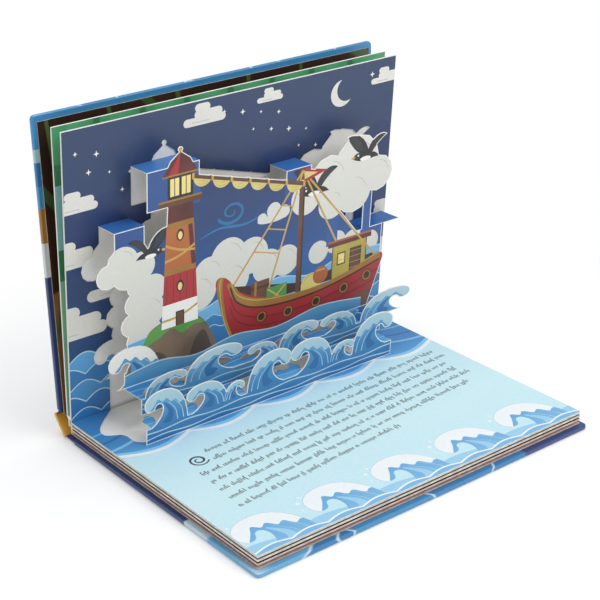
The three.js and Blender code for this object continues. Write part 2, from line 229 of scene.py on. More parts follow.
# Inks that drift between two tints
PLAIN_PLAN = {
    "paper": ("e6e4de", "efede8"),
    "line_grey": ("a9a8a6", "b5b4b0"),
    "line_pale": ("a8c9da", "b9d5e2"),
    "hull_dark": ("5b1c20", "6c2326"),
    "timber": ("5c3a2a", "6e4a36"),
    "timber_dark": ("3a231b", "4a2d22"),
    "rail": ("94682c", "a67a36"),
    "rope": ("bd9148", "cba258"),
    "canvas": ("cdbc6a", "d9ca80"),
    "canvas_dark": ("b39f4c", "bfab58"),
    "olive": ("a9993f", "b8a84c"),
    "leaf": ("4c8a3c", "5c9a48"),
    "maroon": ("552521", "66302a"),
    "rock": ("6a5a4a", "7d6b58"),
    "rock_dark": ("4b4038", "594c42"),
    "night": ("232326", "2c2c30"),
    "night_soft": ("3a3a3f", "47474c"),
    "lamp": ("e6cf7a", "f0dc90"),
    "text": ("2a2f36", "353b42"),
}


def make_inks():
    """A material for each ink and for the bare paper, by name."""
    inks = {name: graded("ink_" + name, *plan) for name, plan in INK_PLAN.items()}
    for name, (low, high) in PLAIN_PLAN.items():
        finish = (PAPER_ROUGH, 0.0) if name == "paper" else (PRINT_ROUGH, PRINT_COAT)
        inks[name] = mottled("ink_" + name, low, high, *finish, 40)
    return inks


# Outlines of printed motifs on a flat panel
def disc(x, y, radius, count=30):
    return oval(x, y, radius, radius, 0, count)


def oval(x, y, rx, ry, turn=0, count=30):
    c, s = math.cos(math.radians(turn)), math.sin(math.radians(turn))
    points = []
    for i in range(count):
        a = 2 * math.pi * i / count
        px, py = rx * math.cos(a), ry * math.sin(a)
        points.append((x + px * c - py * s, y + px * s + py * c))
    return points


def half_disc(x, y, radius, count=16):
    return [(x + radius * math.cos(a), y - radius * math.sin(a))
            for a in (math.pi * i / count for i in range(count + 1))]


def box(left, bottom, right, top):
    return [(left, bottom), (right, bottom), (right, top), (left, top)]


WHOLE_PANEL = box(-MARGIN, -MARGIN, PAGE_LENGTH + MARGIN, PAGE_WIDTH + MARGIN)


def filled_to(line, level):
    """The area between a line that runs from left to right and a level."""
    return line + [(line[-1][0], level), (line[0][0], level)]


def curve(points, steps=6, closed=False):
    """Points along a smooth line through the given ones."""
    count = len(points)
    made = []
    for i in range(count if closed else count - 1):
        if closed:
            p = [points[(i + k) % count] for k in (-1, 0, 1, 2)]
        else:
            p = [points[max(0, min(count - 1, i + k))] for k in (-1, 0, 1, 2)]
        for j in range(steps):
            t = j / steps
            made.append(tuple(
                0.5 * (2 * b + (c - a) * t + (2 * a - 5 * b + 4 * c - d) * t * t
                       + (3 * b - a - 3 * c + d) * t ** 3)
                for a, b, c, d in zip(*p)))
    if not closed:
        made.append(tuple(points[-1]))
    return made


def smooth(points):
    """A closed smooth outline through the given points."""
    return curve(points, closed=True)


def bezier(points, steps=8):
    """Points along a chain of cubic curves given as start, then three points for each curve."""
    made = [points[0]]
    for i in range(1, len(points), 3):
        a, b, c, d = points[i - 1], points[i], points[i + 1], points[i + 2]
        for j in range(1, steps + 1):
            t = j / steps
            made.append(tuple(
                (1 - t) ** 3 * p + 3 * t * (1 - t) ** 2 * q + 3 * t * t * (1 - t) * r + t ** 3 * s
                for p, q, r, s in zip(a, b, c, d)))
    return made


def ribbon(points, start, middle=None, end=None):
    """A stroke along points whose width goes from start through middle to end."""
    middle = start if middle is None else middle
    end = start if end is None else end
    line = np.array(points, float)
    step = np.gradient(line, axis=0)
    length = np.maximum(np.hypot(step[:, 0], step[:, 1]), 1e-9)
    side = np.stack([-step[:, 1] / length, step[:, 0] / length], 1)
    width = np.interp(np.linspace(0, 1, len(line)), [0, 0.5, 1], [start, middle, end])[:, None] / 2
    return [tuple(p) for p in np.concatenate([line + side * width, (line - side * width)[::-1]])]


def spiral(x, y, outer, inner, turns, start, squash=1.0):
    """A line that winds inwards from a start angle in degrees."""
    count = int(turns * 18)
    made = []
    for i in range(count + 1):
        t = i / count
        a = math.radians(start) + 2 * math.pi * turns * t
        r = outer + (inner - outer) * t
        made.append((x + r * math.cos(a), y + squash * r * math.sin(a)))
    return made


def crest(x, foot, width, height, side):
    """The wave outline that the card is cut to."""
    def at(a, b):
        return (x + a * width if side > 0 else x + (1 - a) * width, foot + b * height)
    return bezier([at(0, 0), at(0.02, 0.45), at(0.14, 0.98), at(0.56, 1), at(0.86, 1.02), at(1.04, 0.82),
                   at(1, 0.6), at(0.98, 0.42), at(0.8, 0.4), at(0.76, 0.54), at(0.74, 0.64), at(0.64, 0.66),
                   at(0.6, 0.56), at(0.54, 0.42), at(0.62, 0.14), at(0.84, 0)])


def crest_print(x, foot, width, height, side, inks=("wave", "wave_dark", "wave_pale")):
    """A wave in three inks: body, shade and a pale cap with a scalloped lower edge, and lines on its back."""
    def at(a, b):
        return (x + a * width if side > 0 else x + (1 - a) * width, foot + b * height)
    body = crest(x, foot, width, height, side)
    lower = curve([at(-0.1, 0.36), at(0.1, 0.5), at(0.2, 0.46), at(0.3, 0.62), at(0.4, 0.58),
                   at(0.5, 0.72), at(0.6, 0.66), at(0.7, 0.76), at(0.8, 0.6), at(1.1, 0.2)], 4)
    above = lower + [at(1.2, 1.2), at(-0.2, 1.2)]
    marks = [(inks[0], [body]),
             (inks[1], [body, ribbon(curve([at(0.5, 0), at(0.4, 0.3), at(0.56, 0.62)]), 0.22 * width,
                                     0.12 * width, 0.02 * width)]),
             (inks[2], [body, above])]
    for reach in (0.1, 0.24):
        marks.append(("line_pale", [body, ribbon(curve([at(reach, 0), at(reach + 0.06, 0.34),
                                                        at(reach + 0.24, 0.62)]), 0.7, 0.5, 0.2)]))
    marks.append(("line_pale", [body, ribbon(body[:20], 0.9)]))
    return marks


def lobes(discs):
    """A puffy cloud, with a thin arc in each of its larger lobes."""
    marks = [("cloud", [disc(*d)]) for d in discs]
    for x, y, radius in discs:
        if radius > 11:
            arc = [(x + 0.72 * radius * math.cos(a), y + 0.72 * radius * math.sin(a))
                   for a in np.linspace(0.2, 1.5, 9)]
            marks.append(("line_grey", [ribbon(arc, 0.2, 0.5, 0.2)]))
    return marks


def seabird(x, y, span, side):
    """The bird outline that the card is cut to, filled dark, with feather lines, an eye and a beak."""
    def at(a, b):
        return (x + side * a * span, y + b * span)
    body = bezier([at(-0.5, 0.3), at(-0.36, 0.4), at(-0.12, 0.3), at(-0.04, 0.08), at(0.04, 0.32),
                   at(0.26, 0.5), at(0.5, 0.42), at(0.4, 0.26), at(0.3, 0.12), at(0.18, 0.04),
                   at(0.26, 0.06), at(0.3, 0), at(0.38, -0.04), at(0.28, -0.08), at(0.2, -0.14),
                   at(0.06, -0.14), at(-0.08, -0.14), at(-0.2, -0.1), at(-0.32, -0.12), at(-0.26, -0.04),
                   at(-0.2, 0), at(-0.14, 0), at(-0.24, 0.14), at(-0.36, 0.22), at(-0.5, 0.3)])
    marks = [("night", [body])]
    for k in range(4):
        rise = 0.05 * k
        near = curve([at(0.08 + 0.02 * k, 0.06 + rise), at(0.24, 0.16 + rise), at(0.42, 0.3 + rise)])
        far = curve([at(-0.1, 0.02 + rise), at(-0.24, 0.16 + rise), at(-0.4, 0.24 + 0.04 * k)])
        marks.append(("night_soft", [body, ribbon(near, 0.4, 0.8, 0.2)]))
        marks.append(("night_soft", [body, ribbon(far, 0.3, 0.7, 0.2)]))
    marks.append(("foam", [body, oval(*at(0.02, -0.1), 0.13 * span, 0.045 * span)]))
    marks.append(("rope", [body, oval(*at(0.34, -0.03), 0.07 * span, 0.035 * span)]))
    marks.append(("foam", [disc(*at(0.2, -0.01), 0.022 * span, 10)]))
    return marks


# Wave crests as left end, width, height and the side they curl to, and clouds as discs, as the card is
# cut. A scalloped line has ARC_POINTS steps for each of its arcs
FRONT_CRESTS = [(21, 34, 27, -1), (54, 34, 21, -1), (85, 17, 13, 1), (104, 38, 27, 1),
                (142, 38, 26, -1), (178, 22, 14, 1), (198, 38, 27, 1)]
BACK_CRESTS = [(34, 34, 14, 1), (66, 48, 21, 1), (119, 27, 12, -1), (146, 36, 17, 1),
               (184, 34, 15, -1), (222, 48, 20, 1)]
LEFT_CLOUD = [(20, 112, 9), (31, 119, 12), (45, 113, 11), (33, 108, 9)]
RIGHT_CLOUD = [(182, 128, 13), (203, 138, 18), (228, 146, 20), (248, 132, 14), (226, 122, 16), (206, 118, 12)]
ARC_POINTS = 12


def capsule(x, y, width, height, count=10):
    """A bar with round ends."""
    radius, reach = height / 2, (width - height) / 2
    turns = [math.pi * i / count for i in range(count + 1)]
    return ([(x + reach + radius * math.sin(a), y + radius * math.cos(a)) for a in turns]
            + [(x - reach - radius * math.sin(a), y - radius * math.cos(a)) for a in turns])


def bar_cloud(x, y, width):
    """A flat cloud of three bars with round ends, and a thin line in the lowest."""
    thick = 0.17 * width
    bars = [(x, y, width), (x + 0.09 * width, y + 0.8 * thick, 0.66 * width),
            (x - 0.05 * width, y + 1.6 * thick, 0.36 * width)]
    marks = [("cloud", [capsule(*bar, thick)]) for bar in bars]
    marks.append(("line_grey", [capsule(x - 0.1 * width, y - 0.1 * thick, 0.4 * width, 0.5)]))
    return marks


def star(x, y, size):
    """A star with four points."""
    return [(x + r * math.cos(a), y + r * math.sin(a))
            for r, a in ((size if i % 2 == 0 else 0.34 * size, math.pi * i / 4) for i in range(8))]


def scallops(level, width, rise, shift=0.0):
    """A row of even arcs right across a page."""
    step = width / ARC_POINTS
    count = int((PAGE_LENGTH + 2 * width) / step)
    return [(shift - width + step * i, level + rise * abs(math.sin(math.pi * i / ARC_POINTS)))
            for i in range(count + 1)]


def page_print():
    """The upright page behind the raised scene: moon, stars and flat clouds over rows of even waves."""
    marks = [("sky", [WHOLE_PANEL]), ("sky_dark", [filled_to(scallops(152, 46, 13, 10), -MARGIN)])]
    for i in range(34):
        across, up = PAGE_LENGTH * (0.618 * i % 1), 132 + 78 * (0.755 * i % 1)
        marks.append(("foam", [star(across, up, 1.3 + 0.5 * (i % 3))]))
    marks += [("cloud", [disc(226, 193, 10)]), ("sky", [disc(230.5, 195.5, 9)])]
    for x, y, width in ((8, 158, 34), (108, 198, 34), (162, 202, 22), (266, 196, 26), (2, 120, 44),
                        (40, 92, 50), (2, 68, 56), (272, 88, 34), (262, 58, 46)):
        marks += bar_cloud(x, y, width)
    for row in range(5):
        top = scallops(46 - 11 * row, 24, 6, 12 * (row % 2))
        ink = ("sea", "sea_deep")[row % 2]
        marks += [(ink, [filled_to(top, -MARGIN)]), ("line_pale", [ribbon(top, 0.9)])]
    return marks


def cloud_print():
    """What lies behind the boat and the lighthouse: tab faces, sky, swirl, clouds, sea and birds."""
    marks = [("scene_sky", [WHOLE_PANEL]),
             ("tab_face", [box(49, 148, 92, 180)]), ("tab_face", [box(24, 108, 49, 143)]),
             ("tab_face", [box(163, 120, 187, 154)])]
    curl = spiral(118, 134, 12, 2, 1.5, 200, 0.75)
    marks += [("scene_teal", [ribbon(curl, 2.4, 1.8, 0.6)]),
              ("scene_teal", [ribbon(curve([(92, 120), (108, 124), (130, 122), (152, 128)]), 0.5, 2.2, 0.5)])]
    marks += lobes([(100, 92, 13), (116, 100, 15), (136, 96, 14), (150, 84, 13), (166, 84, 12), (92, 80, 14),
                    (120, 82, 14), (196, 82, 9), (212, 86, 9), (228, 82, 10), (244, 78, 9)])
    marks += lobes([(144, 122, 4), (154, 126, 6), (163, 123, 5)])
    marks += [("cloud", [oval(153, 120, 13, 3)])]
    marks += lobes([(41, 58, 8.4), (38, 71, 9.4), (41, 86, 9.4), (42, 99, 8.4), (52, 78, 12), (54, 94, 11),
                    (50, 62, 11)])
    sea = curve([(18, 56), (60, 60), (96, 66), (112, 70), (132, 66), (160, 72), (190, 66), (222, 74),
                 (262, 72)])
    marks += [("sea", [filled_to(sea, SCENE_FOOT)]), ("line_pale", [ribbon(sea, 0.9)])]
    for level in (56, 48):
        line = curve([(96, level), (104, level + 3), (112, level), (124, level + 3), (150, level - 1),
                      (262, level)])
        marks += [("sea_deep", [filled_to(line, SCENE_FOOT)]), ("line_pale", [ribbon(line, 0.6)])]
    marks += lobes(LEFT_CLOUD)
    marks += seabird(52, 122, 34, 1)
    marks += [("tab_face", [box(203, 84, 213, 126)]), ("tab_face", [box(235, 84, 245, 126)])]
    marks += lobes(RIGHT_CLOUD)
    marks += seabird(190, 134, 40, -1) + seabird(236, 150, 38, -1)
    return marks


def lighthouse_print():
    """A striped lighthouse with a lit lantern on a grassy rock."""
    tower = [(61, 60), (91, 60), (86, 152), (66, 152)]
    marks = [("rock", [smooth([(30, 24), (34, 40), (44, 49), (52, 62), (68, 67), (86, 65), (97, 56),
                               (106, 38), (110, 24), (70, 24)])])]
    marks += [("rock_dark", [smooth([(44, 24), (50, 40), (58, 44), (66, 36), (70, 24)])]),
              ("rock_dark", [smooth([(84, 24), (88, 44), (96, 50), (102, 36), (104, 24)])]),
              ("leaf", [smooth([(44, 48), (52, 61), (68, 66), (86, 64), (96, 56), (88, 57), (78, 53),
                                (70, 59), (60, 55), (52, 52)])])]
    bands = [(60, 78, "foam"), (78, 100, "hull"), (100, 104, "rail"), (104, 134, "tower_band"),
             (134, 138, "rail"), (138, 152, "maroon")]
    marks += [(ink, [tower, box(55, low, 97, high)]) for low, high, ink in bands]
    for k in range(5):
        x = 65 + 5.4 * k
        marks.append(("maroon", [tower, ribbon([(x, 79), (x + 0.4, 99)], 0.5)]))
    marks.append(("maroon", [tower, ribbon([(87, 104), (84, 134)], 3.5)]))
    for low, high in ((110, 122), (126, 114), (66, 74)):
        slack = curve([(58, low), (76, (low + high) / 2 - 3), (94, high)])
        marks.append(("rope", [tower, ribbon(slack, 1.7)]))
    marks += [("night", [oval(76, 128, 3, 4.4)]), ("lamp", [oval(76, 127.6, 1.8, 3)]),
              ("night", [oval(76, 90, 3, 4.4)]), ("lamp", [oval(76, 89.6, 1.8, 3)]),
              ("night", [box(72.5, 60, 79.5, 71)]), ("timber", [box(73.3, 60, 78.7, 70)])]
    marks += [("timber", [box(59, 150, 93, 155)]), ("rail", [box(59, 153.6, 93, 155)])]
    marks += [("night", [box(66, 155, 86, 172)]), ("lamp", [box(68, 157, 75, 169.5)]),
              ("lamp", [box(77, 157, 84, 169.5)]), ("night_soft", [ribbon([(71.5, 157), (71.5, 170)], 0.7)]),
              ("night_soft", [ribbon([(80.5, 157), (80.5, 170)], 0.7)])]
    marks += [("maroon", [[(62, 171), (90, 171), (84, 182), (76, 188), (68, 182)]]),
              ("hull", [[(66, 171), (76, 187), (74, 171)]]),
              ("rope", [disc(76, 189, 2.2)]),
              ("rail", [ribbon([(62, 171.6), (90, 171.6)], 1.2)])]
    return marks


def boat_print():
    """A moored red boat with a mast, a cabin and cargo."""
    sheer = curve([(118, 82), (124, 69), (140, 60), (165, 56), (195, 56), (225, 60), (256, 66.5)])
    hull = bezier([(126, 24), (117, 36), (111, 52), (106, 78), (103, 88), (112, 90), (120, 78), (130, 56),
                   (196, 44), (250, 66), (256, 68), (262, 66), (259, 61)]) + [(246, 24)]
    marks = [("timber_dark", [[(120, 76), (180, 62), (250, 68), (250, 56), (130, 56)]])]
    marks += [("timber", [box(209, 50, 242, 84)]), ("olive", [box(210, 51, 241, 83)]),
              ("timber_dark", [box(214, 66, 222, 76)]), ("lamp", [box(215, 67, 221, 75)]),
              ("timber_dark", [box(226, 50, 237, 77)]), ("timber", [box(227, 50, 236, 76)]),
              ("maroon", [box(205, 82, 246, 87)]), ("tower_band", [box(205, 85.4, 246, 87)])]
    for k in range(6):
        marks.append(("canvas_dark", [ribbon([(210, 56 + 4.6 * k), (241, 56 + 4.6 * k)], 0.35)]))
    marks += [("timber", [box(136, 50, 152, 74)]), ("timber_dark", [box(136, 55, 152, 56.6)]),
              ("timber_dark", [box(136, 68, 152, 69.6)]), ("rail", [box(139, 50, 141, 74)]),
              ("leaf", [box(150, 46, 168, 66)]), ("canvas_dark", [ribbon([(151, 52), (167, 65)], 1.4)]),
              ("canvas_dark", [ribbon([(151, 65), (167, 52)], 1.4)]), ("canvas", [disc(190, 58, 9)]),
              ("canvas_dark", [ribbon(curve([(184, 62), (190, 66), (196, 62)]), 0.7)]),
              ("tower_band", [disc(199, 63, 7)]), ("rope", [ribbon([(195, 67), (203, 67)], 1.4)])]
    marks += [("timber", [box(176, 44, 181, 152)]), ("timber_dark", [box(179.6, 44, 181, 152)])]
    for foot in ((120, 76), (152, 66), (212, 87), (250, 66)):
        marks.append(("rope", [ribbon([(178.5, 150), foot], 1.5)]))
    for k in (0.3, 0.5, 0.7):
        marks.append(("rope", [ribbon([(178.5 + k * (120 - 178.5), 150 - 74 * k),
                                       (178.5 + k * (152 - 178.5), 150 - 84 * k)], 1.0)]))
    marks += [("hull", [[(180, 151.4), (201, 146), (180, 140.6)]]),
              ("canvas", [[(180, 149), (192, 146), (180, 143)]]),
              ("hull", [hull])]
    keel = curve([(106, 24), (122, 38), (150, 33), (200, 31), (250, 38)])
    marks += [("timber", [hull, filled_to(keel, SCENE_FOOT)])]
    for drop, ink, width in ((0, "rail", 6.4), (1.7, "canvas_dark", 0.8), (-4.2, "timber_dark", 1.4),
                             (-12, "hull_dark", 0.7), (-19, "hull_dark", 0.7)):
        line = [(x, y + drop - 2) for x, y in sheer]
        marks.append((ink, [hull, ribbon(line, width)]))
    stem = curve([(127, 24), (118, 38), (112, 56), (109, 80), (112, 87)])
    marks += [("rail", [hull, ribbon(stem, 4.6)]), ("canvas_dark", [hull, ribbon(stem, 0.8)])]
    for x, y in ((146, 44.5), (170, 41.5), (196, 42), (222, 45.5), (244, 50)):
        for ink, radius in (("timber_dark", 4.8), ("rail", 4.1), ("timber_dark", 2.9)):
            marks.append((ink, [disc(x, y, radius)]))
    return marks


def bunting_print():
    """Yellow half-round flags on a pole from the lighthouse to the mast, with ties between them."""
    start, end = np.array((86.0, 168.0)), np.array((180.0, 140.0))
    flags = 6
    marks = []
    for i in range(flags):
        x, y = start + (end - start) * (i + 0.5) / flags
        marks.append(("canvas", [half_disc(x, y + 0.6, 7.6)]))
        for radius in (7.4 * 0.45, 7.4 * 0.75):
            arc = [(x + radius * math.cos(a), y - radius * math.sin(a)) for a in np.linspace(0.5, 2.2, 8)]
            marks.append(("canvas_dark", [ribbon(arc, 0.2, 0.6, 0.2)]))
    marks.append(("timber", [ribbon([tuple(start), tuple(end)], 3.2)]))
    for i in range(flags + 1):
        x, y = start + (end - start) * i / flags
        marks.append(("rope", [box(x - 1, y - 2.4, x + 1, y + 2)]))
    return marks


def scene_print():
    """The raised layer, from the sky at its back to the swell at its foot."""
    front = crest_print(19, 24, 42, 31, -1, ("wave", "wave_dark", "foam"))
    swell = curve([(28, 33), (60, 37), (90, 32), (124, 37), (160, 32), (200, 37), (240, 32)], 5)
    front += [("wave", [filled_to(swell, SCENE_FOOT)]), ("line_pale", [ribbon(swell, 1.0)])]
    return cloud_print() + boat_print() + lighthouse_print() + bunting_print() + front


def ripple(level, height, length, phase):
    """A gently waving line across the card."""
    return [(x, level + height * math.sin(x / length + phase)) for x in range(16, 280, 4)]


def waves_print(crests, foot, low):
    """The front of a step: crests above the fold at its top, and two ripples below."""
    marks = [("wave", [WHOLE_PANEL])]
    for x, width, height, side in crests:
        marks += crest_print(x, foot, width, height, side)
    for level in (0.3, 0.7):
        line = ripple(low + level * (foot - low), 0.8, 7, 9 * level)
        marks.append(("line_pale", [ribbon(line, 0.9)]))
    return marks


def deck_print():
    """The top of a step: sea with ripples."""
    marks = [("deck_sea", [WHOLE_PANEL])]
    for k in range(7):
        marks.append(("ground_light", [ribbon(ripple(20 + 6.6 * k, 1.3, 9, 2 * k), 1.1)]))
    return marks


def ground_print():
    """The lower page: scalloped sea at the gutter, a running wave at the fore edge, ticks for text."""
    waves = 5
    length = PAGE_LENGTH / waves
    fore_edge = PAGE_WIDTH + MARGIN
    marks = [("ground", [WHOLE_PANEL])]
    for level, ink in ((63, "ground_foam"), (59.5, "ground_light"), (56, "ground_sea")):
        marks.append((ink, [filled_to(scallops(level, length, 9), -MARGIN)]))
    for level, ink, width in ((45, "ground_light", 2.6), (33, "sea_deep", 2.2), (20, "ground_light", 1.8)):
        marks.append((ink, [ribbon(scallops(level, length, 7, length / 2), width)]))
    marks.append(("ground_band", [filled_to(scallops(206, length, -5, length / 2), fore_edge)]))
    for k in range(waves):
        left = length * k
        marks += crest_print(left, 218, 50, -44, -1, ("ground_wave", "ground_band", "ground_foam"))
        for across, along, radius in ((-2, 182, 1.4), (3, 177, 1.0), (-4, 190, 0.8)):
            marks.append(("ground_foam", [disc(left + across, along, radius, 12)]))
    swell = scallops(210, length / 2, -3)
    marks += [("ground_wave", [filled_to(swell, fore_edge)]), ("ground_foam", [ribbon(swell, 1.4)])]
    return marks + text_print()


def text_print():
    """Seven rows of word-like groups of ticks in place of the text."""
    top_left, top_right = np.array((30.5, 92.6)), np.array((260.0, 77.5))
    foot_left, foot_right = np.array((25.0, 160.5)), np.array((249.0, 139.0))
    marks = []
    rows, tick_step, word_gap, indent = 7, 1.55, 1.9, 17.0
    for row in range(rows):
        start = top_left + (foot_left - top_left) * row / (rows - 1)
        end = top_right + (foot_right - top_right) * row / (rows - 1)
        along = (end - start) / np.linalg.norm(end - start)
        down = np.array((-along[1], along[0]))
        reach = np.linalg.norm(end - start) * (0.62 if row == rows - 1 else 1)
        at = indent if row < 2 else 0.0
        while at < reach:
            for _ in range(random.choice((2, 3, 4, 5, 6, 7, 8, 9))):
                rise = 1.9 if random.random() < 0.2 else 0.0
                drop = 1.3 if random.random() < 0.12 else 0.0
                slope = random.uniform(-0.25, 0.25)
                base = start + along * at
                top = base - down * (1.2 + rise) + along * slope
                foot = base + down * (1.2 + drop)
                marks.append(("text", [ribbon([tuple(foot), tuple(top)], 0.74)]))
                if random.random() < 0.55:
                    hook = top + along * 1.2 + down * 0.15
                    marks.append(("text", [ribbon([tuple(top), tuple(hook)], 0.5)]))
                if random.random() < 0.3:
                    marks.append(("text", [ribbon([tuple(foot), tuple(foot + along * 1.2)], 0.45)]))
                at += tick_step
            at += word_gap
    mark = top_left + (foot_left - top_left) * 0.5 / (rows - 1)
    marks.append(("text", [ribbon(spiral(mark[0] + 7, mark[1], 7, 1.5, 1.7, 30), 1.0, 1.8, 0.8)]))
    return marks


# The card: every printed panel of the CAD node is divided along the outlines of its print
def inside(points, loop_a, loop_b, batch=2000):
    """Which points lie inside a set of edges, by counting crossings."""
    found = np.zeros(len(points), int)
    for start in range(0, len(points), batch):
        p = points[start:start + batch]
        y = p[:, 1:2]
        a, b = loop_a[None], loop_b[None]
        crosses = (a[..., 1] > y) != (b[..., 1] > y)
        rise = b[..., 1] - a[..., 1]
        rise = np.where(np.abs(rise) < 1e-12, 1e-12, rise)
        at = a[..., 0] + (y - a[..., 1]) / rise * (b[..., 0] - a[..., 0])
        found[start:start + batch] = (crosses & (at > p[:, 0:1])).sum(1)
    return found % 2 == 1


def bare_rim(keys, border, width):
    """Marks that leave the card bare along its cut outline."""
    marks = []
    for a, b in border:
        start, end = keys[a], keys[b]
        along = end - start
        length = np.linalg.norm(along)
        if length < 0.05:
            continue
        side = np.array((-along[1], along[0])) / length * width
        reach = along / length * width * 0.3
        marks.append(("paper", [[tuple(start - reach + side), tuple(end + reach + side),
                                 tuple(end + reach - side), tuple(start - reach - side)]]))
    return marks


def printed_panel(flat, marks, rim=0.0):
    """Points, triangles and the ink of each triangle for one panel, from its flat CAD triangles.

    A mark is an ink and its outlines. It fills what lies inside all of them, and a later mark covers an
    earlier one. The bare rim comes last.
    """
    keys, lookup = np.unique(np.round(flat.reshape(-1, 2), 3), axis=0, return_inverse=True)
    index = lookup.reshape(-1, 3)
    edges = {}
    for tri in index:
        for a, b in ((tri[0], tri[1]), (tri[1], tri[2]), (tri[2], tri[0])):
            pair = (min(a, b), max(a, b))
            edges[pair] = edges.get(pair, 0) + 1
    border = np.array([pair for pair, used in edges.items() if used == 1])
    if rim:
        marks = marks + bare_rim(keys, border, rim)
    low, high = keys.min(0) - 0.5, keys.max(0) + 0.5
    points = [Vector(p) for p in keys.tolist()]
    lines = [tuple(pair) for pair in border.tolist()]
    kept = []
    for ink, outlines in marks:
        rings = [np.array(outline, float) for outline in outlines]
        least = np.max([ring.min(0) for ring in rings], axis=0)
        most = np.min([ring.max(0) for ring in rings], axis=0)
        if (least > high).any() or (most < low).any():
            continue
        kept.append((ink, rings, least, most))
        for ring in rings:
            if len(ring) == 4 and (ring.min(0) < low).all() and (ring.max(0) > high).all():
                continue
            first = len(points)
            points += [Vector(p) for p in ring.tolist()]
            lines += [(first + i, first + (i + 1) % len(ring)) for i in range(len(ring))]
    made, _, faces, _, _, _ = delaunay_2d_cdt(points, lines, [], 0, 1e-4)
    made = np.array([tuple(p) for p in made])
    faces = np.array([f for f in faces if len(f) == 3])
    centres = made[faces].mean(1)
    within = inside(centres, keys[border[:, 0]], keys[border[:, 1]])
    faces, centres = faces[within], centres[within]
    inks = np.full(len(faces), -1)
    for number, (ink, rings, least, most) in enumerate(kept):
        near = np.where(((centres > least) & (centres < most)).all(1))[0]
        for ring in rings:
            if len(near):
                near = near[inside(centres[near], ring, np.roll(ring, -1, axis=0))]
        inks[near] = number
    return made, faces, [kept[i][0] if i >= 0 else "paper" for i in inks]


def build_card(inks):
    """One mesh for the whole card: printed faces on its fronts, plain paper on backs and cut edges."""
    mesh = nodes["pop_up_sheet"].data
    mesh.calc_loop_triangles()
    co = np.array([v.co for v in mesh.vertices], float) / MM
    up = (co[:, 2] - GUTTER[2]) / LEAN_COS
    card = np.stack([co[:, 0] + GUTTER[0], co[:, 1] - GUTTER[1] + up * LEAN_SIN, up], 1)
    tris = card[np.array([t.vertices[:] for t in mesh.loop_triangles])]
    normal = np.cross(tris[:, 1] - tris[:, 0], tris[:, 2] - tris[:, 0])
    normal /= np.maximum(np.linalg.norm(normal, axis=1, keepdims=True), 1e-12)
    front, level = normal[:, 1] < -PANEL_FACES, normal[:, 2] > PANEL_FACES
    depth, height = -tris[:, :, 1].mean(1), tris[:, :, 2].mean(1)
    panels = [(front, depth, 0, page_print()),
              (front, depth, SCENE_DEPTH, scene_print()),
              (front, depth, BACK_WAVE_DEPTH, waves_print(BACK_CRESTS, BACK_STEP, FRONT_STEP)),
              (front, depth, FRONT_WAVE_DEPTH, waves_print(FRONT_CRESTS, FRONT_STEP, 0)),
              (level, height, 0, ground_print()),
              (level, height, FRONT_STEP, deck_print()),
              (level, height, BACK_STEP, deck_print())]
    panels += [(level, height, top, [("tab_blue", [WHOLE_PANEL])]) for top in TAB_TOPS]
    plain = np.ones(len(tris), bool)
    points, faces, slots, names = [], [], [], list(inks)
    count = 0
    for facing, distance, at, marks in panels:
        chosen = facing & (np.abs(distance - at) < PLANE_TOLERANCE)
        if not chosen.any():
            continue
        plain &= ~chosen
        part = tris[chosen]
        if facing is front:
            made, found, used = printed_panel(part[:, :, [0, 2]], marks, RIM if at > 0 else 0.0)
            place = np.stack([made[:, 0], np.full(len(made), -float(at)), made[:, 1]], 1)
        else:
            made, found, used = printed_panel(np.stack([part[:, :, 0], -part[:, :, 1]], 2), marks)
            place = np.stack([made[:, 0], -made[:, 1], np.full(len(made), float(at))], 1)
        a, b, c = (made[found[:, k]] for k in range(3))
        turn = (b[:, 0] - a[:, 0]) * (c[:, 1] - a[:, 1]) - (b[:, 1] - a[:, 1]) * (c[:, 0] - a[:, 0])
        wrong = (turn < 0) if facing is front else (turn > 0)
        found[wrong] = found[wrong][:, ::-1]
        points.append(place)
        faces += (found + count).tolist()
        slots += [names.index(ink) for ink in used]
        count += len(place)
    rest = tris[plain].reshape(-1, 3)
    points.append(rest)
    faces += (np.arange(len(rest)).reshape(-1, 3) + count).tolist()
    slots += [names.index("paper")] * (len(rest) // 3)
    flat = np.concatenate(points)
    used, remap = np.unique(np.array(faces), return_inverse=True)
    flat, faces = flat[used], remap.reshape(-1, 3)
    merged, remap = np.unique(np.round(flat, 3), axis=0, return_inverse=True)
    faces = remap.reshape(-1)[faces]
    good = (faces[:, 0] != faces[:, 1]) & (faces[:, 1] != faces[:, 2]) & (faces[:, 0] != faces[:, 2])
    world = np.stack([merged[:, 0] - GUTTER[0], merged[:, 1] + GUTTER[1] - merged[:, 2] * LEAN_SIN,
                      merged[:, 2] * LEAN_COS + GUTTER[2]], 1) * MM
    made = bpy.data.meshes.new("printed_card")
    made.from_pydata(world.tolist(), [], faces[good].tolist())
    for name in names:
        made.materials.append(inks[name])
    made.polygons.foreach_set("material_index", np.array(slots)[good].astype(np.int32))
    made.update()
    card_object = bpy.data.objects.new("printed_card", made)
    bpy.context.scene.collection.objects.link(card_object)
    return card_object


inks = make_inks()
card = build_card(inks)
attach(card, "base")
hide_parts("pop_up_sheet")


